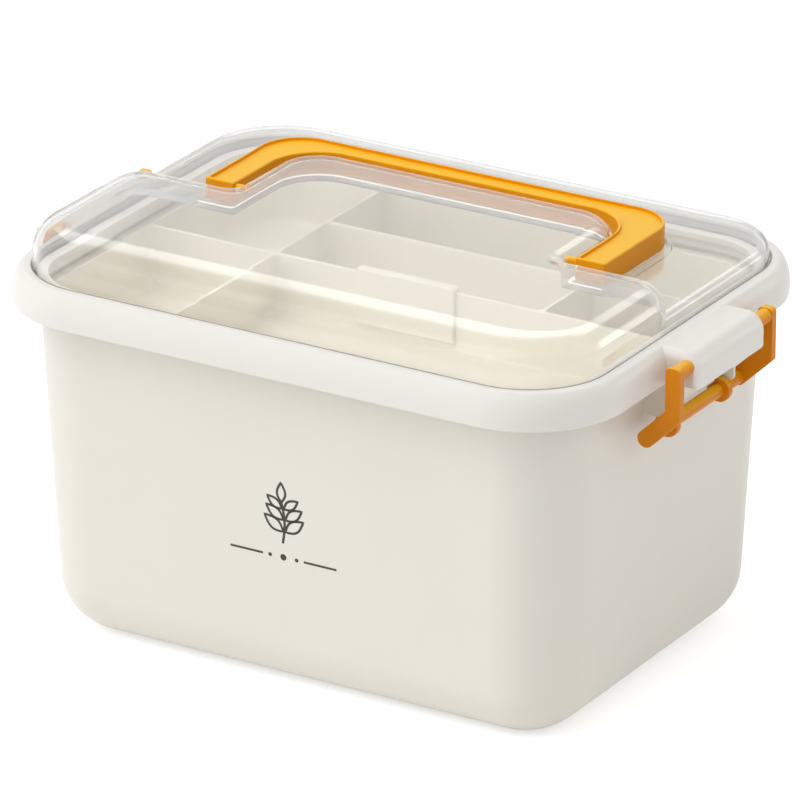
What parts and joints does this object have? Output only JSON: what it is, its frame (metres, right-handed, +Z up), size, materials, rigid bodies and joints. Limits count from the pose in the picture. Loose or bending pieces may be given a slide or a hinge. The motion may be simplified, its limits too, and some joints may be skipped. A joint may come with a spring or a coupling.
{
  "type": "medicine storage box",
  "caption": "Carry box for medicines: drafted tub, lift-out divided tray, lid with a clear raised cover, folding handle and swing latches at both ends.",
  "frame": {"origin": "on the ground under the middle of the tub, which is the bottom centre of the closed box", "axes": "+X along the length towards the right-hand latch, -Y towards the front, +Z up"},
  "size_m": [0.3184, 0.2204, 0.1852],
  "materials": {
    "tub_plastic": "satin moulded polypropylene, warm white",
    "tray_plastic": "satin moulded polypropylene, warm white",
    "frosted_plastic": "frosted translucent moulded polypropylene",
    "clear_plastic": "clear polished moulded polystyrene",
    "yellow_plastic": "glossy moulded polypropylene, warm yellow"
  },
  "bodies": {
    "base": {"tub": "tub_plastic"},
    "tray": {"tray": "tray_plastic"},
    "lid": {"lid_rim": "frosted_plastic", "lid_dome": "clear_plastic"},
    "handle": {"carry_handle": "yellow_plastic"},
    "latch_l": {"latch_left": "yellow_plastic"},
    "latch_r": {"latch_right": "yellow_plastic"}
  },
  "joints": [
    {"name": "lid_lift", "type": "slide", "parent": "base", "child": "lid", "axis": [0, 0, 1], "range_m": [0, 0.056]},
    {"name": "tray_lift", "type": "slide", "parent": "base", "child": "tray", "axis": [0, 0, 1], "range_m": [0, 0.0505]},
    {"name": "latch_right_swing", "type": "hinge", "parent": "lid", "child": "latch_r", "pos_m": [0.1541, 0, 0.1591], "axis": [0, -1, 0], "range_deg": [0, 220]},
    {"name": "latch_left_swing", "type": "hinge", "parent": "lid", "child": "latch_l", "pos_m": [-0.1541, 0, 0.1591], "axis": [0, 1, 0], "range_deg": [0, 220]},
    {"name": "handle_fold", "type": "hinge", "parent": "lid", "child": "handle", "pos_m": [0, 0.003, 0.1804], "axis": [1, 0, 0], "range_deg": [0, 90]}
  ],
  "couplings": [
    {"joint": "tray_lift", "follows": "lid_lift", "ratio": 0.9},
    {"joint": "latch_right_swing", "follows": "lid_lift", "rad_per_m": 68.5},
    {"joint": "latch_left_swing", "follows": "lid_lift", "rad_per_m": 68.5}
  ]
}
